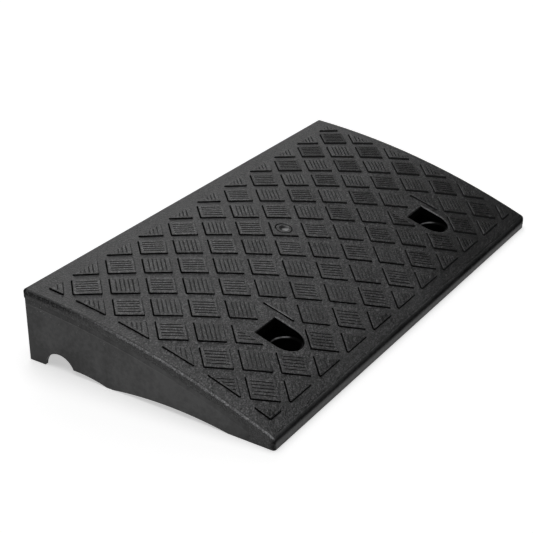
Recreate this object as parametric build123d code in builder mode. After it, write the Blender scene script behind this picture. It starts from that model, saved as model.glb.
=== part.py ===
"""Rubber kerb ramp: a crowned, treaded wedge that lies against a kerb, bolted down through two recesses.

Millimetres. The origin is under the middle of the ramp, on the ground. +X runs along the kerb, +Y points
at the kerb, +Z is up. The deck is an arc, flatter at the kerb and steeper towards the nose.
"""
import os
from math import atan2, degrees, sqrt

from build123d import *

os.makedirs("parts", exist_ok=True)

# Overall form
overall_length = 490.0
overall_depth = 256.0
rear_height = 69.5
nose_height = 12.5
crown_radius = 800.0

# Moulding sections
deck_thickness = 8.0
rim_overhang = 0.6
wall_thickness = 3.5
rib_thickness = 3.5
nose_depth = 24.0

# Rounded edges of the deck
front_edge_radius = 4.5
edge_radius = 2.6
recess_edge_radius = 0.8

# Drain notch and arches along the feet of the side walls and cross ribs, measured from the rear edge
notch_radius = 16.8
notch_drop = 1.7
notch_from_rear = 35.8
middle_foot_from_rear = 91.0
middle_foot_length = 7.0
front_foot_from_rear = 212.0
arch_rise = 4.7

# Ribs between the cross ribs
long_rib_count = 3
long_rib_lift = 6.0

# Tread lattice: full pitches along and across the ramp and the margins left; rows count half pitches.
# The gap between pads is narrower along the lattice lines that run forward to the right. All grooves
# fill the same square, inside the pad's shorter side.
tread_columns = 10
tread_rows = 5
tread_side_margin = 13.5
tread_rear_margin = 18.5
tread_front_margin = 11.5
pad_gap_forward = 8.3
pad_gap_back = 9.1
pad_height = 1.3
pad_corner_radius = 1.0
groove_count = 5
groove_margin = 4.2
groove_width = 1.3
groove_depth = 0.6
groove_border = 1.8
half_pad_inset = 0.4
groove_trim = 1.8
turned_row = 8
mark_row = 4
mark_radius = 8.5
mark_line = 1.1

# Fixing recesses, each in place of a pad: U-shaped in plan, round towards the nose, with a steel bush
recess_column = 2
recess_row = 8
recess_width = 31.6
recess_straight = 21.0
cup_wall = 3.5
cup_floor = 6.0
bolt_radius = 6.5
bush_radius = 15.0
bush_bore = 12.8
bush_base = 3.0
bush_chamfer = 1.4
bush_recess = 7.0

# Places that follow from the sizes above
rear_y = overall_depth / 2
front_y = -overall_depth / 2
rim_x = overall_length / 2
wall_x = rim_x - rim_overhang
inner_x = wall_x - wall_thickness
wall_y = rear_y - rim_overhang
inner_y = wall_y - wall_thickness
nose_back_y = front_y + nose_depth
pitch_x = (overall_length - 2 * tread_side_margin) / tread_columns
pitch_y = (overall_depth - tread_rear_margin - tread_front_margin) / tread_rows
lattice_step = sqrt(pitch_x**2 + pitch_y**2) / 2
lattice_angle = degrees(atan2(pitch_y, pitch_x))
pad_forward = lattice_step - pad_gap_forward
pad_back = lattice_step - pad_gap_back
pad_skew = (pad_back - pad_forward) / (4 * lattice_step)
pad_trim = half_pad_inset + abs(pad_skew) * max(pitch_x, pitch_y)
groove_side = min(pad_forward, pad_back)
groove_length = groove_side - 2 * groove_border
groove_pitch = (groove_side - 2 * groove_margin) / (groove_count - 1)
tread_rear_y = rear_y - tread_rear_margin
tread_front_y = front_y + tread_front_margin
recess_x = (tread_columns / 2 - recess_column) * pitch_x
recess_columns = (recess_column, tread_columns - recess_column)
recess_y = tread_rear_y - recess_row * pitch_y / 2
recess_rear_y = recess_y + recess_straight
last_row = 2 * tread_rows
mark_column = tread_columns / 2
notch_y = rear_y - notch_from_rear
rib_spots = [(column - tread_columns / 2) * pitch_x for column in range(1, tread_columns)]

# The deck's arc: its centre lies below the middle of the chord from nose to rear edge
rise = rear_height - nose_height
chord = sqrt(overall_depth**2 + rise**2)
chord_to_centre = sqrt(crown_radius**2 - (chord / 2) ** 2)
crown_y = chord_to_centre * rise / chord
crown_z = (rear_height + nose_height) / 2 - chord_to_centre * overall_depth / chord
above_deck = rear_height + 2 * pad_height + deck_thickness


def deck_point(y, offset=0.0):
    """Point of the deck's arc at depth y, or of the parallel arc that far above it, as (y, z)."""
    return (y, crown_z + sqrt((crown_radius + offset) ** 2 - (y - crown_y) ** 2))


def deck_arc(y_from, y_to, offset=0.0):
    """Draw the deck's arc, or a parallel one, between two depths."""
    middle = deck_point((y_from + y_to) / 2, offset)
    ThreePointArc(deck_point(y_from, offset), middle, deck_point(y_to, offset))


def deck_band(y_from, y_to, low, high):
    """Draw the section between two arcs parallel to the deck."""
    with BuildLine() as outline:
        deck_arc(y_from, y_to, high)
        Line(deck_point(y_to, high), deck_point(y_to, low))
        deck_arc(y_to, y_from, low)
        Line(deck_point(y_from, low), deck_point(y_from, high))
    make_face(outline.edges())


def under_deck(y_from, y_to, low=0.0, gap=deck_thickness):
    """Draw the section from a level up to the deck's underside, or that far below the deck's top."""
    with BuildLine() as outline:
        Line((y_from, low), (y_to, low))
        Line((y_to, low), deck_point(y_to, -gap))
        deck_arc(y_to, y_from, -gap)
        Line(deck_point(y_from, -gap), (y_from, low))
    make_face(outline.edges())


def arch(y_from, y_to):
    """Cut a shallow arch out of the foot of a web."""
    with BuildLine() as outline:
        Line((y_from, 0), (y_to, 0))
        ThreePointArc((y_from, 0), ((y_from + y_to) / 2, arch_rise), (y_to, 0))
    make_face(outline.edges(), mode=Mode.SUBTRACT)


def web():
    """Draw the upright section that the side walls and cross ribs share, from nose to rear wall."""
    half_notch = sqrt(notch_radius**2 - notch_drop**2)
    foot_rear_y = rear_y - middle_foot_from_rear + middle_foot_length / 2
    under_deck(nose_back_y, inner_y)
    with Locations((notch_y, -notch_drop)):
        Circle(notch_radius, mode=Mode.SUBTRACT)
    arch(foot_rear_y, notch_y + half_notch)
    arch(rear_y - front_foot_from_rear, foot_rear_y - middle_foot_length)


def recess_outline(x, grow=0.0):
    """Draw a fixing recess in plan, or the outline that far outside it."""
    half_width = recess_width / 2 + grow
    with Locations((x, recess_y)):
        Circle(half_width)
        Rectangle(2 * half_width, recess_straight + grow, align=(Align.CENTER, Align.MIN))


def pad_spots(row):
    """Centres of the pads in a row, counted in half pitches from the rear, as (column, x, y)."""
    start = (row % 2) / 2
    count = tread_columns if row % 2 else tread_columns + 1
    columns = [start + step for step in range(count)]
    y = tread_rear_y - row * pitch_y / 2
    return [(column, (column - tread_columns / 2) * pitch_x, y) for column in columns]


def pad_outlines(row):
    """Draw a row's pads in plan: diamonds cut off at the tread's edges and beside the recesses."""
    wide = (pad_forward + pad_back) / (4 * lattice_step)
    side = (wide * pitch_x, pad_skew * pitch_y)
    tip = (pad_skew * pitch_x, wide * pitch_y)
    left_out = recess_columns if row == recess_row else ()
    with Locations([(x, y) for column, x, y in pad_spots(row) if column not in left_out]):
        Polygon(side, tip, (-side[0], -side[1]), (-tip[0], -tip[1]), align=None)
    trim_row(row, pad_trim)


def groove_lean(row, column):
    """Angle of a pad's grooves: forward in odd rows, back in even ones; a few cut pads are turned."""
    at_left_edge = (row, column) == (turned_row, 0)
    behind_recess = row == recess_row - 1 and column - 0.5 in recess_columns
    forward = row % 2 == 1
    if at_left_edge or behind_recess:
        forward = not forward
    return -lattice_angle if forward else lattice_angle


def groove_outlines(row):
    """Draw the grooves of a row's pads in plan; the marked pad has none."""
    spots = [spot for spot in pad_spots(row) if (row, spot[0]) != (mark_row, mark_column)]
    with Locations([Location((x, y), groove_lean(row, column)) for column, x, y in spots]):
        with GridLocations(groove_length, groove_pitch, 1, groove_count):
            Rectangle(groove_length, groove_width)
    trim_row(row, groove_trim)


def trim_row(row, inset):
    """Cut a row's plan off at the tread's edges, and halve the pads behind a recess."""
    row_y = tread_rear_y - row * pitch_y / 2
    if row % 2 == 0:
        with Locations((0, (tread_rear_y + tread_front_y) / 2)):
            Rectangle(
                tread_columns * pitch_x - 2 * inset,
                tread_rows * pitch_y - 2 * inset,
                mode=Mode.INTERSECT,
            )
    if row == recess_row - 1:
        with Locations((-recess_x, row_y), (recess_x, row_y)):
            Rectangle(pitch_x + 2 * inset, pitch_y, mode=Mode.SUBTRACT)


def save(piece, name):
    """Label a finished piece and write it to its file."""
    piece.part.label = name
    export_step(piece.part, f"parts/{name}.step")
    print(name, len(piece.part.solids()), round(piece.part.volume))


# Deck plate: nose, then the crowned slab with its rim, then the recess openings
with BuildPart() as deck_plate:
    with BuildSketch(Plane.YZ):
        under_deck(front_y, nose_back_y, gap=0.8 * deck_thickness)
    extrude(amount=wall_x, both=True)
    fillet(deck_plate.edges().filter_by(Axis.Z).group_by(Axis.Y)[0], edge_radius)
    with BuildSketch(Plane.YZ):
        deck_band(front_y, rear_y, -deck_thickness, 0)
    extrude(amount=rim_x, both=True)
    crown = deck_plate.faces().sort_by(SortBy.AREA)[-1]
    fillet(crown.edges().filter_by(Axis.X).sort_by(Axis.Y)[0], front_edge_radius)
    crown = deck_plate.faces().sort_by(SortBy.AREA)[-1]
    fillet(crown.edges().filter_by(Axis.X).sort_by(Axis.Y)[-1], edge_radius)
    rims = deck_plate.faces().filter_by(Axis.X).group_by(Axis.X)
    rim_edges = []
    for rim in rims[0] + rims[-1]:
        underside = rim.edges().sort_by(SortBy.LENGTH)[-2:].sort_by(Axis.Z)[0]
        rim_edges += [edge for edge in rim.edges() if edge != underside]
    fillet(rim_edges, edge_radius)
    with BuildSketch(Plane.XY):
        recess_outline(-recess_x)
        recess_outline(recess_x)
    extrude(amount=above_deck, mode=Mode.SUBTRACT)
    crown = deck_plate.faces().sort_by(SortBy.AREA)[-1]
    fillet([edge for wire in crown.inner_wires() for edge in wire.edges()], recess_edge_radius)
save(deck_plate, "deck_plate")

# Side walls, a little inside the rim
for name, x in (("left_side_wall", -wall_x), ("right_side_wall", inner_x)):
    with BuildPart() as side_wall:
        with BuildSketch(Plane.YZ.offset(x)):
            web()
        extrude(amount=wall_thickness)
    save(side_wall, name)

# Rear wall, with the rounded corners of the moulding
with BuildPart() as rear_wall:
    with BuildSketch(Plane.YZ):
        under_deck(inner_y, wall_y)
    extrude(amount=wall_x, both=True)
    fillet(rear_wall.edges().filter_by(Axis.Z).group_by(Axis.Y)[-1], edge_radius - rim_overhang)
save(rear_wall, "rear_wall")

# Cross ribs under every column of the tread, broken where a recess stands in the way
for number, x in enumerate(rib_spots, start=1):
    with BuildPart() as cross_rib:
        with BuildSketch(Plane.YZ.offset(x - rib_thickness / 2)):
            web()
        extrude(amount=rib_thickness)
        with BuildSketch(Plane.XY):
            recess_outline(-recess_x, cup_wall)
            recess_outline(recess_x, cup_wall)
        extrude(amount=above_deck, mode=Mode.SUBTRACT)
    save(cross_rib, f"cross_rib_{number}")

# Lengthwise ribs, in pieces between the cross ribs, spread from the drain notch to the recesses
rib_zone_rear = notch_y - notch_radius
rib_zone_front = recess_rear_y + cup_wall
for number in range(1, long_rib_count + 1):
    y = rib_zone_rear + (rib_zone_front - rib_zone_rear) * number / (long_rib_count + 1)
    with BuildPart() as long_rib:
        with BuildSketch(Plane.YZ):
            under_deck(y - rib_thickness / 2, y + rib_thickness / 2, low=long_rib_lift)
        extrude(amount=inner_x, both=True)
        with Locations([(x, y, 0) for x in rib_spots]):
            Box(rib_thickness, 2 * rib_thickness, 2 * above_deck, mode=Mode.SUBTRACT)
    save(long_rib, f"long_rib_{number}")

# Fixing cups under the recesses and the steel bushes that stand in them
bush_height = deck_point(recess_y)[1] - bush_recess - cup_floor
for side, x in (("left", -recess_x), ("right", recess_x)):
    with BuildPart() as fixing_cup:
        with BuildSketch(Plane.XY):
            recess_outline(x, cup_wall)
        extrude(amount=above_deck)
        with BuildSketch(Plane.YZ):
            deck_band(front_y, rear_y, -deck_thickness, above_deck)
        extrude(amount=rim_x, both=True, mode=Mode.SUBTRACT)
        with BuildSketch(Plane.XY.offset(cup_floor)):
            recess_outline(x)
        extrude(amount=above_deck, mode=Mode.SUBTRACT)
        with Locations((x, recess_y, cup_floor)):
            Hole(bolt_radius)
    save(fixing_cup, f"{side}_fixing_cup")

    with BuildPart() as fixing_bush:
        with Locations((x, recess_y, cup_floor)):
            Cylinder(bush_radius, bush_height, align=(Align.CENTER, Align.CENTER, Align.MIN))
        with Locations((x, recess_y, cup_floor + bush_height)):
            CounterBoreHole(bolt_radius, bush_bore, bush_height - bush_base)
        rim_edges = fixing_bush.edges().filter_by(GeomType.CIRCLE).group_by(Axis.Z)[-1]
        chamfer(rim_edges.sort_by(SortBy.RADIUS)[0], bush_chamfer)
    save(fixing_bush, f"{side}_fixing_bush")

# Tread pads, row by row from the rear, their grooves leaning one way in odd rows and the other in even rows
for row in range(last_row + 1):
    with BuildPart() as grooves:
        with BuildSketch(Plane.XY):
            groove_outlines(row)
            if row == mark_row:
                with Locations((0, tread_rear_y - row * pitch_y / 2)):
                    Circle(mark_radius)
                    Circle(mark_radius - mark_line, mode=Mode.SUBTRACT)
        extrude(amount=above_deck)
        with BuildSketch(Plane.YZ):
            under_deck(front_y, rear_y, gap=groove_depth - pad_height)
        extrude(amount=rim_x, both=True, mode=Mode.SUBTRACT)

    with BuildPart() as tread_row:
        with BuildSketch(Plane.XY) as pads:
            pad_outlines(row)
            fillet(pads.vertices(), pad_corner_radius)
        extrude(amount=above_deck)
        with BuildSketch(Plane.YZ):
            under_deck(front_y, rear_y, gap=0)
            deck_band(front_y, rear_y, pad_height, above_deck)
        extrude(amount=rim_x, both=True, mode=Mode.SUBTRACT)
        add(grooves.part, mode=Mode.SUBTRACT)
    save(tread_row, f"tread_row_{row + 1:02d}")
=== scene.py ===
from math import atan2, cos, pi, radians, sin, sqrt

import bmesh
import bpy
from mathutils import Matrix, Vector
from mathutils.geometry import tessellate_polygon


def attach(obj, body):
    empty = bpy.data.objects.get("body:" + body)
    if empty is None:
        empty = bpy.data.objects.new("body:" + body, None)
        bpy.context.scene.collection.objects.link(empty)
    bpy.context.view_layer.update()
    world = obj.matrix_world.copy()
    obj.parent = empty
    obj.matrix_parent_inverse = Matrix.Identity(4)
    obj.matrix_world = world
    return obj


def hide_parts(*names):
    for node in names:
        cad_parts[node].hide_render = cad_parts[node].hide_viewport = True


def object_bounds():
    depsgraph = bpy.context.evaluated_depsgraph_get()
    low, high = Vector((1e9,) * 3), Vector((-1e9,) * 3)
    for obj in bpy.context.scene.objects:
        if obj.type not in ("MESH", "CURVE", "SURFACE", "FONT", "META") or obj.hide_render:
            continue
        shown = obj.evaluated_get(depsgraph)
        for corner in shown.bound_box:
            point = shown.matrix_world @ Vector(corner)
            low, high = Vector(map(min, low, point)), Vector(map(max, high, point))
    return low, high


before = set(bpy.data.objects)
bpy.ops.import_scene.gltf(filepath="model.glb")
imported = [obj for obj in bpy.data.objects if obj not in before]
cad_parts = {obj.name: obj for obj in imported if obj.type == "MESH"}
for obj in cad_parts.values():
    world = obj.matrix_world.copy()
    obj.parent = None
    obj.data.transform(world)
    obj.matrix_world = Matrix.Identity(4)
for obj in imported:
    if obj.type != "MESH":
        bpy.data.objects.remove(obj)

cad_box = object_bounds()
scene = bpy.context.scene
scene.view_settings.view_transform = "Standard"
MM = 0.001

# Sizes of the ramp, as in the solids
LENGTH = cad_box[1].x - cad_box[0].x
DEPTH = cad_box[1].y - cad_box[0].y
REAR_HEIGHT = 69.5 * MM
NOSE_HEIGHT = 12.5 * MM
CROWN_RADIUS = 800 * MM
PARTING_DEPTH = 13.5 * MM
BUSH_TOP = 25.6 * MM

# The deck's arc, from the rear edge to the nose
RISE = REAR_HEIGHT - NOSE_HEIGHT
CHORD = sqrt(DEPTH**2 + RISE**2)
TO_CENTRE = sqrt(CROWN_RADIUS**2 - (CHORD / 2) ** 2)
CROWN_Y = TO_CENTRE * RISE / CHORD
CROWN_Z = (REAR_HEIGHT + NOSE_HEIGHT) / 2 - TO_CENTRE * DEPTH / CHORD

# The lattice of pads, whose rows are counted in half pitches from the rear
COLUMNS = 10
LAST_ROW = 10
SIDE_MARGIN = 13.5 * MM
REAR_MARGIN = 18.5 * MM
FRONT_MARGIN = 11.5 * MM
TREAD_SIDE = LENGTH / 2 - SIDE_MARGIN
TREAD_REAR = DEPTH / 2 - REAR_MARGIN
TREAD_FRONT = FRONT_MARGIN - DEPTH / 2
PITCH_X = 2 * TREAD_SIDE / COLUMNS
PITCH_Y = 2 * (TREAD_REAR - TREAD_FRONT) / LAST_ROW
LATTICE_STEP = sqrt(PITCH_X**2 + PITCH_Y**2) / 2
FORWARD = Vector((PITCH_X, -PITCH_Y)).normalized()
BACK = Vector((PITCH_X, PITCH_Y)).normalized()
RECESS_ROW = 8
RECESS_COLUMNS = (2, COLUMNS - 2)
RECESS_X = (COLUMNS / 2 - RECESS_COLUMNS[0]) * PITCH_X
RECESS_Y = TREAD_REAR - RECESS_ROW * PITCH_Y / 2
TURNED_ROW = 8
MARK_ROW = 4
MARK_COLUMN = COLUMNS / 2

# Pads and their grooves
PAD_FORWARD = LATTICE_STEP - 8.3 * MM
PAD_BACK = LATTICE_STEP - 9.1 * MM
PAD_TOP = 1.3 * MM
PAD_CORNER = 0.5 * MM
PAD_TRIM = 0.4 * MM + (PAD_FORWARD - PAD_BACK) * PITCH_X / (4 * LATTICE_STEP)
CORNER_STEPS = 4
GROOVES = 5
GROOVE_WIDTH = 1.3 * MM
GROOVE_INSET = 1.8 * MM
FIRST_GROOVE = 4.2 * MM
GROOVE_LENGTH = PAD_BACK - 2 * GROOVE_INSET
GROOVE_PITCH = (PAD_BACK - 2 * FIRST_GROOVE) / (GROOVES - 1)
GROOVE_END_STEPS = 6

# The plain ring and dish on the middle pad
MARK_RADIUS = 8.5 * MM
MARK_LINE = 1.1 * MM
MARK_SIDES = 48
DISH_RADIUS = 4.8 * MM
DISH_DEPTH = 0.62 * MM
DISH_STEPS = 10

# How a pad's sides lean in plan, as shares of what they stand out; the leaning sides, in black rubber, reach
# out over the deck as painted shadow, widest on the near side at the rear right.
LEAN_FORWARD = -0.52
LEAN_FORWARD_RIGHT = -0.35
LEAN_BACK = 0.42
LEAN_BACK_RIGHT = -2.4

# Slots of a tread row's materials
PAD_SLOT, SIDE_SHADE_SLOT, LIP_HIGHLIGHT_SLOT, MARK_SLOT, GROOVE_SHADE_SLOT = range(5)

# Greys and roughness of the rubber and the steel
BLUE_TINT = 1.02
# Near black of the painted shade on recess walls, pad sides, grooves and cups
SHADE_BLACK = 0.002
DECK_DARK = 0.003
DECK_LIGHT = 0.15
DECK_ROUGH = 0.34
# Pale of the rubbed edges, which also carry a painted highlight
WORN_AND_HIGHLIT = 0.46
# Pale of the painted highlight on the recess lips
LIP_HIGHLIGHT = 0.42
# Pale of the painted highlight on the pads' edges that face left
PAD_RIM_HIGHLIGHT = 0.16
WALL_DARK = 0.008
WALL_LIGHT = 0.03
WALL_SPECK = 0.3
STEEL_DARK = 0.003
# Pale of the painted glint on the bushes' rims
STEEL_GLINT = 0.3
GRAIN = 1.0
GRAIN_DEPTH = 1.2 * MM
LEAN_GAIN = 0.035 / MM**2
LEAN_MOST = 2.2
BUSH_GLINT = radians(48)

# Most of a noise lies between these
NOISE_LOW = 0.3
NOISE_HIGH = 0.7

# The stage
FLOOR_SIZE = 60.0
FLOOR_DROP = 0.2 * MM
FLOOR_GREY = 0.8
FLOOR_GLOW = 0.52
WORLD_STRENGTH = 0.01

# The photograph's camera, with its size and focal length in pixels
PHOTO_SIZE = 533
PHOTO_FOCAL = 1270.143
SENSOR = 36.0
AZIMUTH = radians(-56.891)
ELEVATION = radians(27.088)
DISTANCE = 1.219559
SHIFT_RIGHT = -0.03328
SHIFT_UP = -0.007648
TARGET = Vector((0.0, -0.000785, 0.03022))


def make_camera():
    back = Vector((sin(AZIMUTH) * cos(ELEVATION), -cos(AZIMUTH) * cos(ELEVATION), sin(ELEVATION)))
    right = Vector((cos(AZIMUTH), sin(AZIMUTH), 0.0))
    up = back.cross(right)
    place = TARGET + SHIFT_RIGHT * right + SHIFT_UP * up + DISTANCE * back
    data = bpy.data.cameras.new("camera")
    data.sensor_width = SENSOR
    data.lens = PHOTO_FOCAL / PHOTO_SIZE * SENSOR
    camera = bpy.data.objects.new("camera", data)
    camera.matrix_world = Matrix.Translation(place) @ Matrix((right, up, back)).transposed().to_4x4()
    scene.collection.objects.link(camera)
    scene.camera = camera


def make_sun(name, azimuth, elevation, width, strength):
    """Soft light from far away, width degrees wide; azimuth counts from +X towards +Y."""
    data = bpy.data.lights.new(name, "SUN")
    data.energy = strength
    data.angle = radians(width)
    lamp = bpy.data.objects.new(name, data)
    around = radians(azimuth)
    up = radians(elevation)
    towards = Vector((cos(around) * cos(up), sin(around) * cos(up), sin(up)))
    lamp.rotation_euler = towards.to_track_quat("Z", "Y").to_euler()
    scene.collection.objects.link(lamp)


def make_world():
    world = bpy.data.worlds.new("studio")
    scene.world = world
    world.use_nodes = True
    background = world.node_tree.nodes["Background"]
    background.inputs["Color"].default_value = (1.0, 1.0, 1.0, 1.0)
    background.inputs["Strength"].default_value = WORLD_STRENGTH


class Graph:
    """A material's node tree, filled by short calls."""

    def __init__(self, tree):
        self.tree = tree
        tree.nodes.clear()

    def add(self, kind, inputs=None, **settings):
        node = self.tree.nodes.new(kind)
        for key, value in settings.items():
            setattr(node, key, value)
        for key, value in (inputs or {}).items():
            if isinstance(value, bpy.types.NodeSocket):
                self.tree.links.new(value, node.inputs[key])
            else:
                node.inputs[key].default_value = value
        return node

    def math(self, operation, *values):
        return self.add("ShaderNodeMath", dict(enumerate(values)), operation=operation).outputs[0]

    def vector_math(self, operation, inputs):
        return self.add("ShaderNodeVectorMath", inputs, operation=operation).outputs[0]

    def split(self, vector):
        return self.add("ShaderNodeSeparateXYZ", {0: vector}).outputs

    def product(self, first, *others):
        result = first
        for value in others:
            result = self.math("MULTIPLY", result, value)
        return result

    def total(self, first, *others):
        result = first
        for value in others:
            result = self.math("ADD", result, value)
        return result

    def largest(self, first, *others):
        result = first
        for value in others:
            result = self.math("MAXIMUM", result, value)
        return result

    def weighted(self, *pairs):
        """Sum of values, each times its weight."""
        return self.total(*[self.product(value, weight) for value, weight in pairs])

    def map_range(self, kind, value, low, high, out_low, out_high):
        inputs = {"Value": value, "From Min": low, "From Max": high, "To Min": out_low, "To Max": out_high}
        return self.add("ShaderNodeMapRange", inputs, interpolation_type=kind).outputs["Result"]

    def step(self, value, low, high, out_low=0.0, out_high=1.0):
        """Smooth step of a value from low to high."""
        return self.map_range("SMOOTHSTEP", value, low, high, out_low, out_high)

    def band(self, value, start, end, soft):
        """1 between start and end, with soft edges inside them."""
        return self.product(self.step(value, start, start + soft), self.step(value, end, end - soft))

    def fade(self, mask, at_zero, at_one):
        """Straight mapping of a mask to two other values."""
        return self.map_range("LINEAR", mask, 0.0, 1.0, at_zero, at_one)

    def vary(self, noise, low, high):
        """Straight mapping of a noise to two other values."""
        return self.map_range("LINEAR", noise, NOISE_LOW, NOISE_HIGH, low, high)

    def noise(self, vector, scale, detail, roughness):
        inputs = {"Vector": vector, "Scale": scale, "Detail": detail, "Roughness": roughness}
        return self.add("ShaderNodeTexNoise", inputs).outputs["Fac"]

    def mix(self, factor, first, second, clamp=True):
        """Mixed colour; without the clamp the factor may pass 1 or 0."""
        inputs = {0: factor, 6: first, 7: second}
        return self.add("ShaderNodeMix", inputs, data_type="RGBA", clamp_factor=clamp).outputs[2]

    def bumped(self, height, distance, strength, normal=None):
        inputs = {"Height": height, "Distance": distance, "Strength": strength}
        if normal is not None:
            inputs["Normal"] = normal
        return self.add("ShaderNodeBump", inputs).outputs["Normal"]

    def surface(self, colour, roughness, normal, specular):
        inputs = {"Base Color": colour, "Roughness": roughness, "Normal": normal}
        inputs["Specular IOR Level"] = specular
        return self.add("ShaderNodeBsdfPrincipled", inputs).outputs["BSDF"]

    def blend(self, factor, first, second):
        return self.add("ShaderNodeMixShader", {0: factor, 1: first, 2: second}).outputs[0]

    def finish(self, shader):
        self.add("ShaderNodeOutputMaterial", {"Surface": shader})


class Place:
    """Where on the ramp a point of a surface lies, in metres; depth counts down from the deck's arc."""

    def __init__(self, graph):
        self.vector = graph.add("ShaderNodeTexCoord").outputs["Object"]
        parts = graph.split(self.vector)
        self.x, self.y, self.z = parts["X"], parts["Y"], parts["Z"]
        self.side = graph.math("ABSOLUTE", self.x)
        self.from_side = graph.math("SUBTRACT", LENGTH / 2, self.side)
        self.from_left = graph.math("ADD", self.x, LENGTH / 2)
        self.from_front = graph.math("ADD", self.y, DEPTH / 2)
        self.from_rear = graph.math("SUBTRACT", DEPTH / 2, self.y)
        across = graph.math("SUBTRACT", self.y, CROWN_Y)
        arc = graph.math("SQRT", graph.math("SUBTRACT", CROWN_RADIUS**2, graph.product(across, across)))
        self.depth = graph.math("SUBTRACT", graph.math("ADD", arc, CROWN_Z), self.z)


def new_material(name):
    material = bpy.data.materials.new(name)
    material.use_nodes = True
    return material, Graph(material.node_tree)


def grey(value):
    return (value, value, value * BLUE_TINT, 1.0)


def sandy_grain(graph, vector):
    """Fine sandy grain of the mould: its height, and how pale each grain is."""
    coarse = graph.noise(vector, scale=480.0, detail=2.0, roughness=0.7)
    cells = graph.add("ShaderNodeTexVoronoi", {"Vector": vector, "Scale": 950.0}).outputs
    pick = graph.add("ShaderNodeSeparateColor", {0: cells["Color"]}).outputs["Red"]
    pale = graph.math("POWER", pick, 4.0)
    height = graph.weighted((coarse, 0.6), (pick, 0.3), (cells["Distance"], -0.2))
    return height, pale


def painted_light_and_shade(graph, place):
    """Painted light and shade on the rubber: paler off the rear and to the left, darker at the front right
    and near the nose.
    """
    off_rear = graph.step(place.y, 90 * MM, -20 * MM)
    to_left = graph.step(place.x, 180 * MM, -40 * MM)
    lit_part = graph.product(off_rear, to_left)
    to_front = graph.step(place.y, 20 * MM, -80 * MM)
    to_right = graph.step(place.x, -40 * MM, 160 * MM)
    shaded_part = graph.product(to_front, to_right)
    nose = graph.step(place.from_front, 22 * MM, 11 * MM)
    everywhere = -0.02
    return graph.total(graph.weighted((lit_part, 0.15), (shaded_part, -0.15), (nose, -0.12)), everywhere)


class Deck:
    """Noises of the deck's rubber, and masks of its parts."""

    def __init__(self, graph):
        self.place = Place(graph)
        self.height, self.pale = sandy_grain(graph, self.place.vector)
        self.broad = graph.noise(self.place.vector, scale=16.0, detail=4.0, roughness=0.6)
        self.patches = graph.noise(self.place.vector, scale=260.0, detail=3.0, roughness=0.7)
        self.chips = graph.noise(self.place.vector, scale=560.0, detail=2.0, roughness=0.7)
        self.speckle = graph.total(self.pale, self.patches)
        self.normal = graph.add("ShaderNodeNewGeometry").outputs["Normal"]
        self.facing = graph.split(self.normal)
        sideways = graph.step(graph.math("ABSOLUTE", self.facing["X"]), 0.1, 0.35)
        self.upright = graph.largest(graph.step(self.facing["Z"], 0.86, 0.5), sideways)
        self.front = graph.step(self.place.from_front, 5.0 * MM, 3.0 * MM)
        self.sandy = graph.step(self.place.from_front, 0.4 * MM, 1.6 * MM)
        self.left = graph.step(self.place.x, 160 * MM, -200 * MM)


def recess_walls(graph, place):
    """1 on the walls of the fixing recesses, 0 on the rest of the deck."""
    below_top = graph.step(place.depth, 0.9 * MM, 2.0 * MM)
    off_sides = graph.step(place.from_side, 7 * MM, 9 * MM)
    off_front = graph.step(place.from_front, 10 * MM, 12 * MM)
    off_rear = graph.step(place.from_rear, 4 * MM, 6 * MM)
    return graph.product(below_top, off_sides, off_front, off_rear)


def painted_ledge_shade(graph, deck):
    """Painted shade: a dark band on the sides of the rim, towards the rear, broken up by the grain."""
    place = deck.place
    below_edge = graph.step(place.depth, 0.4 * MM, 1.4 * MM)
    on_side = graph.step(place.from_side, 2.2 * MM, 1.2 * MM)
    upper_part = graph.step(place.depth, 6.0 * MM, 3.6 * MM, 0.3, 1.0)
    towards_rear = graph.step(place.y, 30 * MM, 105 * MM)
    broken_up = graph.step(deck.speckle, 1.3, 0.3, 0.35, 1.0)
    return graph.product(below_edge, on_side, upper_part, towards_rear, broken_up)


def worn_and_highlit_edge(graph, deck):
    """Pale ragged line along the edges at the sides: rubbed wear with a painted highlight, strongest towards
    the front.
    """
    place = deck.place
    ragged = graph.total(place.depth, graph.vary(deck.chips, -1.0 * MM, 1.0 * MM))
    on_side = graph.step(place.from_side, 1.7 * MM, 0.7 * MM)
    near_top = graph.step(ragged, 2.6 * MM, 1.7 * MM)
    towards_front = graph.step(place.y, 80 * MM, -20 * MM, 0.15, 1.0)
    broken_up = graph.step(graph.total(deck.pale, deck.chips), 0.3, 1.1, 0.25, 1.0)
    return graph.product(on_side, near_top, towards_front, broken_up)


def recess_lip_highlight(graph, deck):
    """Painted highlight on the upper edge of the recess walls that face left."""
    place = deck.place
    faces_left = graph.step(deck.facing["X"], -0.15, -0.45)
    near_top = graph.step(place.depth, 1.3 * MM, 0.7 * MM)
    off_sides = graph.step(place.from_side, 7 * MM, 9 * MM)
    off_front = graph.step(place.from_front, 40 * MM, 62 * MM)
    broken_up = graph.step(deck.speckle, 0.2, 1.2, 0.4, 1.0)
    return graph.product(faces_left, near_top, off_sides, off_front, broken_up)


def painted_corner_shade(graph, deck):
    """Painted shade: dark spots at the deck's two left corners, at the nose and at the rear."""
    place = deck.place
    at_left = graph.step(place.from_left, 4 * MM, 1 * MM)
    at_front = graph.step(place.from_front, 5 * MM, 2 * MM)
    below_top = graph.step(place.depth, 3 * MM, 6 * MM)
    broken_up = graph.step(deck.chips, 0.35, 0.65, 0.85, 0.35)
    nose_corner = graph.product(at_left, at_front, below_top, broken_up)
    by_left = graph.step(place.from_left, 4.5 * MM, 2.5 * MM)
    by_rear = graph.step(place.from_rear, 4.5 * MM, 2.5 * MM)
    off_the_back = graph.step(deck.facing["Y"], 0.5, 0.1)
    return graph.largest(nose_corner, graph.product(by_left, by_rear, off_the_back))


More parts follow.
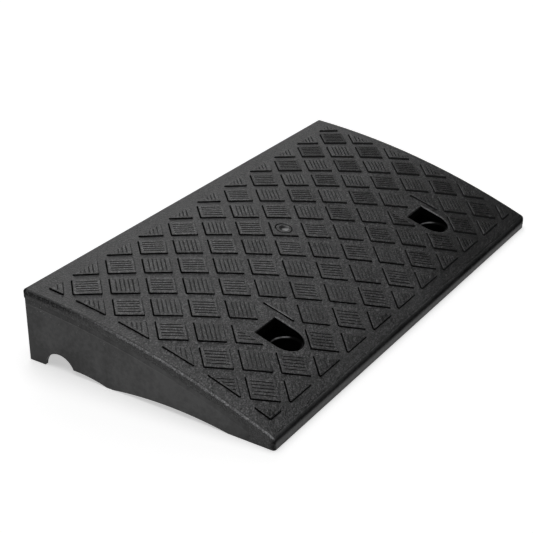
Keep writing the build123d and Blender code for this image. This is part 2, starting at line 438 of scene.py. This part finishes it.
def visible_grain(graph, deck):
    """The grain's paleness, faded to an even tone at the rear, at the front right and near the nose."""
    place = deck.place
    rear = graph.step(place.y, -20 * MM, 100 * MM, 0.0, 0.65)
    front = graph.step(place.y, -40 * MM, -100 * MM)
    front_right = graph.product(front, graph.step(place.x, 0.0, 160 * MM, 0.0, 0.5))
    nose = graph.step(place.from_front, 30 * MM, 14 * MM, 0.0, 0.45)
    calm = graph.largest(rear, front_right, nose)
    on_sand = graph.fade(deck.sandy, 0.1, 1.0)
    on_top = graph.fade(deck.upright, 1.0, 0.4)
    grains = graph.product(deck.pale, on_sand, on_top)
    return graph.weighted((grains, graph.math("SUBTRACT", 1.0, calm)), (calm, 0.2))


def deck_colour(graph, deck, dark):
    """Colour of the deck: grain, painted light and shade, and patches; paler on the rubbed edges, which
    carry a painted highlight, and on the recess lips, a painted highlight; black where painted shade lies.
    """
    painted_tone = graph.product(painted_light_and_shade(graph, deck.place), graph.fade(deck.upright, 1.0, 0.0))
    # Painted light: the front strip's tone is lifted towards the left.
    strip = graph.product(deck.front, deck.upright, graph.fade(deck.left, 0.02, 0.09))
    uneven = graph.total(graph.vary(deck.broad, -0.05, 0.1), graph.vary(deck.patches, -0.1, 0.1))
    tone = graph.total(visible_grain(graph, deck), painted_tone, uneven, strip)
    colour = graph.mix(tone, grey(DECK_DARK), grey(DECK_LIGHT))
    colour = graph.mix(worn_and_highlit_edge(graph, deck), colour, grey(WORN_AND_HIGHLIT))
    colour = graph.mix(recess_lip_highlight(graph, deck), colour, grey(LIP_HIGHLIGHT))
    # Painted shade: black in the recesses, at the left corners and on the rim's ledge.
    return graph.mix(dark, colour, grey(SHADE_BLACK))


def deck_normal(graph, deck):
    """Normal of the deck: leant up on the front face, as by a fuller rounding, and rough with grain."""
    start = graph.fade(deck.left, 2.6 * MM, 3.7 * MM)
    climb = graph.largest(graph.math("SUBTRACT", deck.place.z, start), 0.0)
    front_face = graph.step(deck.place.from_front, 2.0 * MM, 1.0 * MM)
    fuller = graph.product(climb, climb, LEAN_GAIN, front_face)
    up = graph.add("ShaderNodeCombineXYZ", {"Z": graph.math("MINIMUM", fuller, LEAN_MOST)}).outputs[0]
    leant = graph.vector_math("NORMALIZE", {0: graph.vector_math("ADD", {0: deck.normal, 1: up})})
    return graph.bumped(deck.height, GRAIN_DEPTH, graph.fade(deck.sandy, 0.15, GRAIN), leant)


def make_deck_rubber():
    """Black rubber of the deck: sandy on top and on the rim, smooth at the front, rubbed and with a painted
    highlight along its sides, with painted shade in its recesses, at its left corners and on the rim's
    ledge.
    """
    material, graph = new_material("deck_rubber")
    deck = Deck(graph)
    recess = recess_walls(graph, deck.place)
    ledge_shade = painted_ledge_shade(graph, deck)
    # Painted shade: black on the recess walls, at the left corners and, in part, on the rim's ledge.
    painted_shade = graph.largest(recess, painted_corner_shade(graph, deck))
    colour = deck_colour(graph, deck, graph.largest(painted_shade, graph.product(ledge_shade, 0.75)))
    normal = deck_normal(graph, deck)
    uneven = graph.vary(deck.broad, DECK_ROUGH - 0.03, DECK_ROUGH + 0.03)
    roughness = graph.total(uneven, graph.product(recess, 0.4))
    strip_gloss = graph.fade(deck.left, 0.16, 0.235)
    top = graph.surface(colour, roughness, normal, specular=0.5)
    rim = graph.surface(colour, graph.total(roughness, 0.06), normal, specular=0.36)
    strip = graph.surface(colour, graph.total(roughness, 0.04), normal, specular=strip_gloss)
    # The shaded surface is a dull copy of the rubber for the painted shade.
    shaded = graph.surface(colour, graph.total(roughness, 0.2), normal, specular=0.08)
    sides = graph.blend(deck.front, graph.blend(ledge_shade, rim, shaded), strip)
    graph.finish(graph.blend(painted_shade, graph.blend(deck.upright, top, sides), shaded))
    return material


def make_tread_rubber(name, bright, shade, start_y, end_y):
    """Rubber of the pads, a little smoother, with painted light and shade: its colour and gloss drop by
    shade to the right and towards end_y, and its edges that face left get a painted highlight towards the
    right.
    """
    material, graph = new_material(name)
    place = Place(graph)
    height, pale = sandy_grain(graph, place.vector)
    broad = graph.noise(place.vector, scale=22.0, detail=3.0, roughness=0.6)
    tone = graph.total(graph.product(pale, 0.8), painted_light_and_shade(graph, place), graph.vary(broad, -0.05, 0.1))
    colour = graph.mix(tone, grey(DECK_DARK), grey(DECK_LIGHT))
    to_right = graph.step(place.x, -50 * MM, 205 * MM)
    shaded = graph.product(to_right, graph.step(place.y, start_y, end_y))
    # Painted light and shade: light scales the colour here and the gloss below.
    light = graph.fade(shaded, bright, bright - shade)
    colour = graph.vector_math("SCALE", {0: colour, "Scale": light})
    facing = graph.split(graph.add("ShaderNodeNewGeometry").outputs["Normal"])
    faces_left = graph.weighted((facing["X"], -FORWARD.x), (facing["Y"], -FORWARD.y))
    rim = graph.product(graph.step(faces_left, 0.25, 0.6), graph.step(place.x, -40 * MM, 160 * MM))
    # Painted highlight on the edges that face left, towards the right.
    colour = graph.mix(rim, colour, grey(PAD_RIM_HIGHLIGHT))
    roughness = graph.vary(broad, DECK_ROUGH - 0.06, DECK_ROUGH)
    normal = graph.bumped(height, GRAIN_DEPTH, 0.7 * GRAIN)
    graph.finish(graph.surface(colour, roughness, normal, specular=graph.product(light, 0.5)))
    return material


def make_mark_rubber():
    """Smooth rubber of the dish in the middle pad, without grain."""
    material, graph = new_material("mark_rubber")
    soft = graph.noise(Place(graph).vector, scale=300.0, detail=2.0, roughness=0.5)
    colour = graph.mix(soft, grey(0.01), grey(0.04))
    roughness = graph.vary(soft, 0.14, 0.2)
    normal = graph.bumped(soft, distance=0.1 * MM, strength=0.3)
    graph.finish(graph.surface(colour, roughness, normal, specular=0.8))
    return material


def make_dull_rubber(name, dark, light, painted_light_right=0.0):
    """Rubber without gloss, dark to light by a fine noise; the last argument is added to its tone on the
    right, as painted light where it is positive and painted shade where it is negative.
    """
    material, graph = new_material(name)
    place = Place(graph)
    fine = graph.noise(place.vector, scale=900.0, detail=2.0, roughness=0.6)
    rightwards = graph.step(place.x, -130 * MM, 200 * MM, 0.0, painted_light_right)
    tone = graph.total(graph.step(fine, NOISE_LOW, NOISE_HIGH), rightwards)
    colour = graph.mix(tone, grey(dark), grey(light), clamp=False)
    roughness = graph.vary(fine, 0.8, 0.95)
    normal = graph.bumped(fine, distance=0.2 * MM, strength=0.4)
    graph.finish(graph.surface(colour, roughness, normal, specular=0.0))
    return material


class Wall:
    """Noises of the walls' rubber, and masks of their parting line and of what lies above it."""

    def __init__(self, graph):
        self.place = Place(graph)
        vector = self.place.vector
        self.flow = graph.noise(vector, scale=26.0, detail=4.0, roughness=0.6)
        self.mottle = graph.noise(vector, scale=210.0, detail=3.0, roughness=0.7)
        self.fine = graph.noise(vector, scale=1000.0, detail=2.0, roughness=0.5)
        drawn_out = graph.add("ShaderNodeMapping", {"Vector": vector, "Scale": (1.0, 1.0, 0.12)}).outputs[0]
        self.streaks = graph.noise(drawn_out, scale=130.0, detail=3.0, roughness=0.6)
        line = graph.band(self.place.depth, PARTING_DEPTH - 0.9 * MM, PARTING_DEPTH + 0.9 * MM, 0.7 * MM)
        self.line = graph.product(line, graph.step(self.place.y, -60 * MM, 20 * MM, 0.3, 1.0))
        self.above = graph.step(self.place.depth, PARTING_DEPTH + 0.1 * MM, PARTING_DEPTH - 0.3 * MM)


def wall_colour(graph, wall):
    """Colour of the walls: flow marks and blotches, a parting line paler by a painted highlight, and pale
    specks under the rim towards the rear.
    """
    place = wall.place
    spots = graph.step(graph.noise(place.vector, scale=620.0, detail=2.0, roughness=0.6), 0.66, 0.74)
    below_rim = graph.step(place.depth, 9 * MM, 12 * MM)
    high_up = graph.step(place.depth, 26 * MM, 13 * MM)
    towards_rear = graph.step(place.y, 0.0, 70 * MM)
    specks = graph.product(spots, below_rim, high_up, towards_rear)
    # Painted highlight: the parting line's ridge, raised by the bump, is paler along streaks.
    line_highlight = graph.product(wall.line, graph.step(wall.streaks, 0.4, 0.6), 0.4)
    tone = graph.total(graph.vary(wall.flow, 0.0, 0.4), graph.vary(wall.mottle, -0.2, 0.35), line_highlight)
    return graph.mix(specks, graph.mix(tone, grey(WALL_DARK), grey(WALL_LIGHT)), grey(WALL_SPECK))


def wall_polish(graph, wall):
    """How glossy the walls are: more in the middle and off the ground, less above the line and in a band."""
    place = wall.place
    off_rear = graph.step(place.y, 85 * MM, 25 * MM)
    off_front = graph.step(place.y, -135 * MM, -60 * MM)
    middle = graph.product(off_rear, off_front)
    off_ground = graph.step(place.z, 2 * MM, 24 * MM)
    dull_band = graph.band(place.y, 30 * MM, 46 * MM, 7 * MM)
    parts = graph.weighted((middle, 0.75), (off_ground, 0.2), (wall.above, -0.25), (dull_band, -0.3))
    return graph.total(parts, graph.vary(wall.flow, -0.4, 0.4), graph.vary(wall.mottle, -0.2, 0.2))


def make_wall_rubber():
    """Smooth satin walls with faint flow marks, upright streaks and a parting line below the rim."""
    material, graph = new_material("wall_rubber")
    wall = Wall(graph)
    colour = wall_colour(graph, wall)
    roughness = graph.total(graph.vary(wall.flow, 0.3, 0.38), graph.product(wall.above, 0.04))
    fine = graph.product(wall.fine, graph.fade(wall.above, 0.03, 0.12))
    height = graph.total(graph.weighted((wall.flow, 0.5), (wall.streaks, 0.05), (wall.line, 0.4)), fine)
    normal = graph.bumped(height, distance=0.4 * MM, strength=0.5)
    bright = graph.surface(colour, roughness, normal, specular=0.54)
    dim = graph.surface(colour, graph.total(roughness, 0.1), normal, specular=0.3)
    graph.finish(graph.blend(wall_polish(graph, wall), dim, bright))
    return material


def bush_glint(graph, place):
    """Painted glint: a thin arc on a bush's rim, at the back right and fainter to the left."""
    aside = graph.math("SUBTRACT", place.side, RECESS_X)
    rightwards = graph.product(aside, graph.math("SIGN", place.x))
    behind = graph.math("SUBTRACT", place.y, RECESS_Y)
    towards = graph.weighted((rightwards, cos(BUSH_GLINT)), (behind, sin(BUSH_GLINT)))
    main_part = graph.step(towards, 11.0 * MM, 13.3 * MM)
    longer = graph.step(towards, 6.0 * MM, 12.0 * MM)
    left_half = graph.step(rightwards, 6.0 * MM, 0.0)
    arc = graph.largest(main_part, graph.product(longer, left_half, 0.35))
    radius = graph.math("SQRT", graph.total(graph.product(behind, behind), graph.product(aside, aside)))
    thin = graph.band(radius, 13.0 * MM, 14.3 * MM, 0.4 * MM)
    on_rim = graph.step(place.z, BUSH_TOP - 1.4 * MM, BUSH_TOP)
    return graph.product(on_rim, arc, thin)


def make_bush_steel():
    """Black coated steel, with a painted glint on the rim."""
    material, graph = new_material("bush_steel")
    place = Place(graph)
    fine = graph.noise(place.vector, scale=700.0, detail=3.0, roughness=0.6)
    broad = graph.noise(place.vector, scale=120.0, detail=3.0, roughness=0.6)
    # Painted glint, broken up by a noise.
    painted_glint = graph.product(bush_glint(graph, place), graph.step(broad, 0.2, 0.6))
    colour = graph.mix(painted_glint, grey(STEEL_DARK), grey(STEEL_GLINT))
    roughness = graph.vary(fine, 0.3, 0.42)
    normal = graph.bumped(fine, distance=0.1 * MM, strength=0.2)
    graph.finish(graph.surface(colour, roughness, normal, specular=0.04))
    return material


def make_floor():
    """Wide pale floor: white to the camera and in reflections, darker where the ramp shades it."""
    bpy.ops.mesh.primitive_plane_add(size=FLOOR_SIZE, location=(0.0, 0.0, -FLOOR_DROP))
    floor = bpy.context.object
    floor.name = "floor"
    material, graph = new_material("white_floor")
    path = graph.add("ShaderNodeLightPath").outputs
    seen = graph.largest(path["Is Camera Ray"], path["Is Glossy Ray"], path["Is Transmission Ray"])
    diffuse = graph.add("ShaderNodeBsdfDiffuse", {"Color": (FLOOR_GREY, FLOOR_GREY, FLOOR_GREY, 1.0)})
    glow = graph.add("ShaderNodeEmission", {"Strength": graph.product(seen, FLOOR_GLOW)})
    both = graph.add("ShaderNodeAddShader", {0: diffuse.outputs[0], 1: glow.outputs[0]})
    graph.finish(both.outputs[0])
    floor.data.materials.append(material)


def in_metres(*points):
    """Points of a section, given in mm as how far out, or how wide, and how high above the deck."""
    return [(out * MM, up * MM) for out, up in points]


def quarter_round(out, up, width, height, steps):
    """Section of a rounded edge, from its side inwards to its top."""
    angles = [pi / 2 * step / steps for step in range(steps + 1)]
    return [(out - width * (1 - cos(angle)), up + height * sin(angle)) for angle in angles]


# Sections of the pads, their grooves and the mark
# The sides slope out to 0.85 mm at the deck; in their black rubber they widen the painted shade round each
# pad.
PAD_SIDE = in_metres((0.87, -0.3), (0.85, 0.0), (0.43, 0.5), (0.02, 1.0))
PAD_EDGE = quarter_round(*PAD_SIDE[-1], width=0.72 * MM, height=PAD_TOP - PAD_SIDE[-1][1], steps=4)
STEEP_GROOVE = in_metres((0.64, 1.3), (0.56, 1.26), (0.5, 1.08), (0.45, 0.66), (0.25, 0.58))
# Soft grooves, whose wall has least half widths, least widths outside the bottom, and drops below the top
SOFT_WALL = [(0.62 * MM, 0.14 * MM, 0.0), (0.5 * MM, 0.1 * MM, 0.04 * MM), (0.34 * MM, 0.05 * MM, 0.27 * MM)]
SOFT_DROP = 0.62 * MM
SOFT_DEPTH = 0.74 * MM
NARROW_BOTTOM = 0.05 * MM
WIDEST_BOTTOM = 0.55 * MM
MARK_SECTION = in_metres((0.3, 1.3), (0.16, 1.26), (0.0, 1.13), (-0.2, 0.85), (-0.38, 0.75))


def raised(bm, points, height):
    """New vertices over points in plan, that far above the deck."""
    radius = CROWN_RADIUS + height
    return [bm.verts.new((p.x, p.y, CROWN_Z + sqrt(radius**2 - (p.y - CROWN_Y) ** 2))) for p in points]


def clip(outline, point, normal):
    """Cut a convex outline off on the far side of a line."""
    kept = []
    for start, end in zip(outline, outline[1:] + outline[:1]):
        past_start = (start - point).dot(normal)
        past_end = (end - point).dot(normal)
        if past_start <= 0:
            kept.append(start)
        if past_start * past_end < 0:
            kept.append(start + (end - start) * (past_start / (past_start - past_end)))
    return kept


def shorten(start, end, lines):
    """Cut a straight line off where it runs past other lines; None if too little is left."""
    for point, normal in lines:
        past_start = (start - point).dot(normal)
        past_end = (end - point).dot(normal)
        if past_start > 0 and past_end > 0:
            return None
        if past_start > 0:
            start = start + (end - start) * past_start / (past_start - past_end)
        elif past_end > 0:
            end = start + (end - start) * past_start / (past_start - past_end)
    return (start, end) if (end - start).length > GROOVE_WIDTH / 2 else None


def arc_points(centre, radius, start, turn, steps):
    """Points along an arc, both ends included."""
    angles = [start + turn * step / steps for step in range(steps + 1)]
    return [centre + radius * Vector((cos(angle), sin(angle))) for angle in angles]


def ring(outline, radius, grow):
    """Points round a convex outline with rounded corners, moved outwards by grow."""
    points = []
    for i, corner in enumerate(outline):
        before = (corner - outline[i - 1]).normalized()
        after = (outline[(i + 1) % len(outline)] - corner).normalized()
        out_before = Vector((before.y, -before.x))
        out_after = Vector((after.y, -after.x))
        centre = corner - (out_before + out_after) * radius / (1 + out_before.dot(out_after))
        start = atan2(out_before.y, out_before.x)
        turn = (atan2(out_after.y, out_after.x) - start) % (2 * pi)
        points += arc_points(centre, radius + grow, start, turn, CORNER_STEPS)
    return points


def slot_ring(start, end, radius):
    """Points round a slot with round ends."""
    heading = atan2(end.y - start.y, end.x - start.x)
    far_end = arc_points(end, radius, heading - pi / 2, pi, GROOVE_END_STEPS)
    return far_end + arc_points(start, radius, heading + pi / 2, pi, GROOVE_END_STEPS)


def circle(centre, radius):
    return arc_points(centre, radius, 0.0, 2 * pi, MARK_SIDES)[:-1]


def skin(bm, rings, slot):
    """Join rings of vertices by quads, one ring to the next."""
    for low, high in zip(rings, rings[1:]):
        for i in range(len(low)):
            j = (i + 1) % len(low)
            bm.faces.new((low[i], low[j], high[j], high[i])).material_index = slot


def cap_with_holes(bm, outer, holes):
    """Close a ring of vertices by triangles that leave its holes open."""
    loops = [outer] + holes
    flat_loops = [[Vector((v.co.x, v.co.y, 0.0)) for v in loop] for loop in loops]
    verts = [v for loop in loops for v in loop]
    for triangle in tessellate_polygon(flat_loops):
        bm.faces.new([verts[i] for i in triangle]).material_index = PAD_SLOT


class Pad:
    """One pad of the tread: where it lies, what cuts it off and which way its grooves run."""

    def __init__(self, row, column):
        self.row = row
        self.column = column
        self.centre = Vector(((column - COLUMNS / 2) * PITCH_X, TREAD_REAR - row * PITCH_Y / 2))
        self.rightness = self.centre.x / LENGTH + 0.5
        self.rearness = self.centre.y / DEPTH + 0.5
        at_left_edge = row == TURNED_ROW and column == 0
        behind_recess = row == RECESS_ROW - 1 and column - 0.5 in RECESS_COLUMNS
        self.turned = (row % 2 == 1) != (at_left_edge or behind_recess)

    def cuts(self, inset):
        """Lines that cut the pad off at the tread's edges or behind a recess, as (point, outward normal)."""
        lines = []
        if self.row % 2 == 0:
            lines += [((TREAD_SIDE - inset, 0), (1, 0)), ((inset - TREAD_SIDE, 0), (-1, 0))]
            lines += [((0, TREAD_REAR - inset), (0, 1)), ((0, TREAD_FRONT + inset), (0, -1))]
        if self.row == RECESS_ROW - 1:
            for recess in RECESS_COLUMNS:
                if abs(self.column - recess) < 1:
                    side = 1 if self.column < recess else -1
                    line = (recess - COLUMNS / 2) * PITCH_X - side * (PITCH_X / 2 + inset)
                    lines.append(((line, 0), (side, 0)))
        return [(Vector(point), Vector(normal)) for point, normal in lines]

    def outline(self):
        """The pad's corners in plan, cut off at its lines."""
        forward = FORWARD * PAD_FORWARD / 2
        back = BACK * PAD_BACK / 2
        corners = [-forward - back, forward - back, forward + back, back - forward]
        outline = [self.centre + corner for corner in corners]
        for point, normal in self.cuts(PAD_TRIM):
            outline = clip(outline, point, normal)
        return outline

    def lean(self):
        """Lean of the pad's sides in plan, for each metre that they stand out; it widens their black skirts
        of painted shadow.
        """
        forward = LEAN_FORWARD + LEAN_FORWARD_RIGHT * self.rightness
        back = LEAN_BACK + LEAN_BACK_RIGHT * (0.8 + 0.4 * self.rearness) * self.rightness**3
        return FORWARD * forward + BACK * back

    def groove_section(self):
        """Steep grooves in turned pads; in the others soft ones, whose black bottom of painted shade is
        wider to the rear right.
        """
        if self.turned:
            return STEEP_GROOVE
        share = 1.0 if self.row == LAST_ROW else self.rearness
        bottom = min(WIDEST_BOTTOM, NARROW_BOTTOM + (0.3 + 0.7 * share) * MM * self.rightness**3)
        depth = 0.75 + 0.25 * self.rightness
        wall = [(max(half, bottom + outside), drop) for half, outside, drop in SOFT_WALL]
        wall += [(bottom, SOFT_DROP), (bottom / 2, SOFT_DEPTH)]
        return [(half, PAD_TOP - depth * drop) for half, drop in wall]


def add_body(bm, pad):
    """A pad's sides and rounded edge, the sides in the black rubber of painted shade; gives the ring of
    vertices round its top.
    """
    outline = pad.outline()
    lean = pad.lean()
    sides = []
    for out, up in PAD_SIDE:
        points = [point + lean * out for point in ring(outline, PAD_CORNER, out)]
        sides.append(raised(bm, points, up))
    edges = [sides[-1]]
    for out, up in PAD_EDGE[1:]:
        edges.append(raised(bm, ring(outline, PAD_CORNER, out), up))
    skin(bm, sides, SIDE_SHADE_SLOT)
    skin(bm, edges, PAD_SLOT)
    bm.faces.new(list(reversed(sides[0]))).material_index = SIDE_SHADE_SLOT
    return edges[-1]


def add_groove(bm, pad, start, end):
    """One groove, with painted shade in black on its walls in a turned pad and on its bottom in another;
    gives its upper ring.
    """
    walls = [raised(bm, slot_ring(start, end, half), up) for half, up in pad.groove_section()]
    wall_slot, bottom_slot = (GROOVE_SHADE_SLOT, PAD_SLOT) if pad.turned else (PAD_SLOT, GROOVE_SHADE_SLOT)
    skin(bm, walls[:3], PAD_SLOT)
    skin(bm, walls[2:4], wall_slot)
    skin(bm, walls[3:], bottom_slot)
    bm.faces.new(walls[-1]).material_index = bottom_slot
    return walls[0]


def add_grooves(bm, pad):
    """The grooves of a pad; gives the upper ring of each."""
    along, across = (FORWARD, BACK) if pad.turned else (BACK, FORWARD)
    reach = along * (GROOVE_LENGTH - GROOVE_WIDTH) / 2
    cuts = pad.cuts(GROOVE_INSET + GROOVE_WIDTH / 2)
    rings = []
    for number in range(GROOVES):
        middle = pad.centre + across * GROOVE_PITCH * (number - (GROOVES - 1) / 2)
        groove = shorten(middle - reach, middle + reach, cuts)
        if groove:
            rings.append(add_groove(bm, pad, *groove))
    return rings


def add_mark(bm, centre):
    """A plain ring round a shallow dish, the ring's hollow in black painted shade; gives the ring's outer
    edge.
    """
    inner_radius = MARK_RADIUS - MARK_LINE
    outer = [raised(bm, circle(centre, MARK_RADIUS + out), up) for out, up in MARK_SECTION]
    inner = [raised(bm, circle(centre, inner_radius - out), up) for out, up in reversed(MARK_SECTION)]
    dish = []
    for step in range(DISH_STEPS):
        share = 1 - step / DISH_STEPS
        height = PAD_TOP - DISH_DEPTH * (1 - share**2)
        dish.append(raised(bm, circle(centre, DISH_RADIUS * share), height))
    skin(bm, outer[:3], PAD_SLOT)
    skin(bm, outer[2:] + inner[:3], GROOVE_SHADE_SLOT)
    skin(bm, inner[2:] + dish[:1], PAD_SLOT)
    skin(bm, dish, MARK_SLOT)
    bm.faces.new(dish[-1]).material_index = MARK_SLOT
    return outer[0]


def add_pad(bm, pad):
    """One raised pad with its grooves, or with the mark on the middle pad."""
    top = add_body(bm, pad)
    if (pad.row, pad.column) == (MARK_ROW, MARK_COLUMN):
        holes = [add_mark(bm, pad.centre)]
    else:
        holes = add_grooves(bm, pad)
    cap_with_holes(bm, top, holes)


def pads_of_row(row):
    """The row's pads from left to right, without those in whose place a recess lies."""
    count = COLUMNS if row % 2 else COLUMNS + 1
    for step in range(count):
        column = step + (row % 2) / 2
        if not (row == RECESS_ROW and column in RECESS_COLUMNS):
            yield Pad(row, column)


def brighten_cut_edges(bm):
    """Give the pads' straight edges that face left, beside a recess, the pale rubber of a painted highlight,
    as on the recess lip.
    """
    same = 0.001 * MM
    for face in bm.faces:
        xs = sorted(v.co.x for v in face.verts)
        straight = len(xs) == 4 and max(xs[1] - xs[0], xs[3] - xs[2]) < same < xs[3] - xs[0]
        if straight and face.material_index == PAD_SLOT and face.normal.x < -0.01:
            face.material_index = LIP_HIGHLIGHT_SLOT


def make_tread_row(row, materials):
    """One row of pads as a piece in place of its solids."""
    bm = bmesh.new()
    for pad in pads_of_row(row):
        add_pad(bm, pad)
    bmesh.ops.recalc_face_normals(bm, faces=bm.faces)
    if row == RECESS_ROW - 1:
        brighten_cut_edges(bm)
    name = f"tread_pads_{row + 1:02d}"
    mesh = bpy.data.meshes.new(name)
    bm.to_mesh(mesh)
    bm.free()
    mesh.shade_smooth()
    for material in materials:
        mesh.materials.append(material)
    piece = bpy.data.objects.new(name, mesh)
    scene.collection.objects.link(piece)
    piece.modifiers.new("even_shading", "WEIGHTED_NORMAL")
    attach(piece, "root")
    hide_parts(f"tread_row_{row + 1:02d}")


def make_tread():
    """All rows of pads: even rows have painted light at the front right, and odd ones painted shade at the
    rear right.
    """
    even_rubber = make_tread_rubber("tread_rubber", 1.01, shade=-0.25, start_y=60 * MM, end_y=-60 * MM)
    odd_rubber = make_tread_rubber("turned_tread_rubber", 1.16, shade=0.8, start_y=-130 * MM, end_y=95 * MM)
    # Painted shade: the pads' sides are near black and without gloss, less dark to the right.
    side_shade_rubber = make_dull_rubber("side_shade_rubber", dark=SHADE_BLACK, light=0.005, painted_light_right=4.5)
    # Painted highlight on the pads' cut edges beside the recesses, paler to the left.
    lip_highlight_rubber = make_dull_rubber("lip_highlight_rubber", dark=0.15, light=0.4, painted_light_right=-0.55)
    mark_rubber = make_mark_rubber()
    # Painted shade: the grooves and the mark's ring are near black and without gloss.
    groove_shade_rubber = make_dull_rubber("groove_shade_rubber", dark=SHADE_BLACK, light=0.005)
    for row in range(LAST_ROW + 1):
        pad_rubber = odd_rubber if row % 2 else even_rubber
        make_tread_row(row, (pad_rubber, side_shade_rubber, lip_highlight_rubber, mark_rubber, groove_shade_rubber))


def dress_solids():
    """Give each solid its material: deck, cups and bushes their own, the cups a black one of painted shade,
    and the rest the walls' rubber.
    """
    deck_rubber = make_deck_rubber()
    # Painted shade: the cups below the recesses are near black and without gloss.
    cup_shade_rubber = make_dull_rubber("cup_shade_rubber", dark=SHADE_BLACK, light=0.004)
    bush_steel = make_bush_steel()
    wall_rubber = make_wall_rubber()
    for name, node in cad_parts.items():
        material = wall_rubber
        if name == "deck_plate":
            material = deck_rubber
        elif name.endswith("cup"):
            material = cup_shade_rubber
        elif name.endswith("bush"):
            material = bush_steel
        node.data.materials.clear()
        node.data.materials.append(material)


make_camera()
make_world()
make_sun("rear_softbox", azimuth=40, elevation=30, width=40, strength=0.48)
make_sun("top_softbox", azimuth=90, elevation=85, width=60, strength=1.75)
make_floor()
dress_solids()
make_tread()
